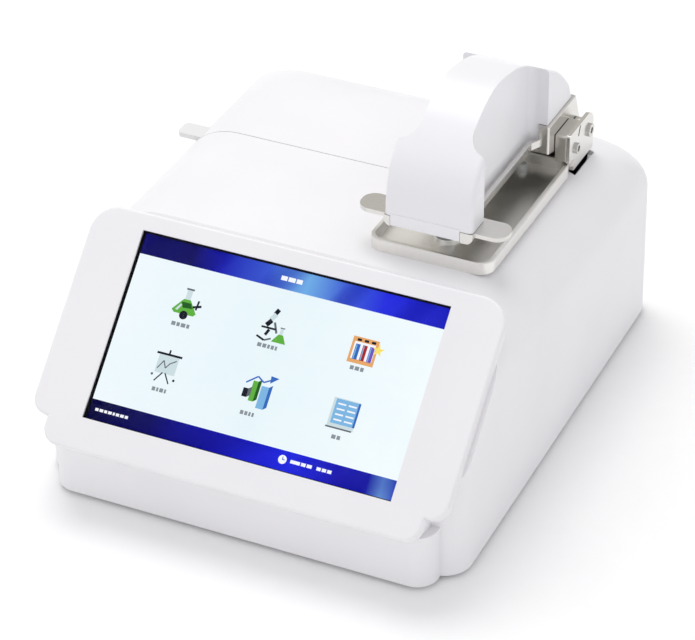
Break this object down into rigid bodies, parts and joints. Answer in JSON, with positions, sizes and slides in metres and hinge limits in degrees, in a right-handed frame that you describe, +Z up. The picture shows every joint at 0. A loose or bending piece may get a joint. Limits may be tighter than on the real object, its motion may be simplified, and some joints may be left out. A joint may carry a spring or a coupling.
{
  "type": "spectrophotometer",
  "caption": "Bench micro-volume spectrophotometer with a sloping touch display, a hinged sample arm over a metal tray and a lidded cuvette bay.",
  "frame": {"origin": "centre of the footprint, on the surface that the feet stand on", "axes": "+Z up, the display faces -Y, +X towards the sample arm"},
  "size_m": [0.2085, 0.2562, 0.1744],
  "materials": {
    "arm": "satin, champagne anodised",
    "bay": "moulded black",
    "board": "circuit board",
    "bracket": "satin, champagne anodised",
    "bumper": "translucent silicone",
    "bush": "turned",
    "cover": "satin white",
    "damper": "satin, champagne anodised",
    "fibre": "jacketed fibre",
    "floor": "brushed",
    "foot": "matt",
    "gasket": "matt",
    "glass": "clear",
    "holder": "black anodised",
    "housing": "satin white",
    "module": "black enclosure",
    "optic": "polished",
    "pin": "ground",
    "port": "plated",
    "screen": "lit display",
    "screw": "satin",
    "seal": "translucent silicone",
    "socket": "moulded black",
    "tab": "satin",
    "tray": "satin, champagne anodised"
  },
  "bodies": {
    "base": {"housing_shell": "housing", "display_bezel": "housing", "base_plate": "floor", "rubber_feet": "foot", "base_screws": "screw", "touch_glass": "glass", "display_gasket": "gasket", "lcd_module": "screen", "arm_tray": "tray", "hinge_bracket": "bracket", "hinge_dampers": "damper", "hinge_bushes": "bush", "hinge_screws": "screw", "hinge_pin": "pin", "lower_pedestal": "optic", "pedestal_seal": "seal", "tray_bumpers": "bumper", "sample_fibre": "fibre", "main_board": "board", "spectrometer_module": "module", "lamp_module": "module", "power_supply": "module", "lid_pins": "pin", "bay_tray": "bay", "cuvette_holder": "holder", "rear_panel": "bay", "dc_inlet": "socket", "usb_sockets": "port", "switch_body": "socket"},
    "arm": {"arm_frame": "arm", "arm_cover": "cover", "arm_screws": "screw", "upper_pedestal": "optic"},
    "lid": {"lid_panel": "housing", "lid_tab": "tab"},
    "rocker": {"power_rocker": "socket"}
  },
  "joints": [
    {"name": "arm_hinge", "type": "hinge", "parent": "base", "child": "arm", "pos_m": [0.0537, 0.09137, 0.11547], "axis": [-1, 0, 0], "range_deg": [0, 75]},
    {"name": "lid_hinge", "type": "hinge", "parent": "base", "child": "lid", "pos_m": [0, 0.1276, 0.0762], "axis": [-1, 0, 0], "range_deg": [0, 70]},
    {"name": "switch_rocker", "type": "hinge", "parent": "base", "child": "rocker", "pos_m": [0.044, 0.123, 0.038], "axis": [1, 0, 0], "range_deg": [0, 11]}
  ]
}
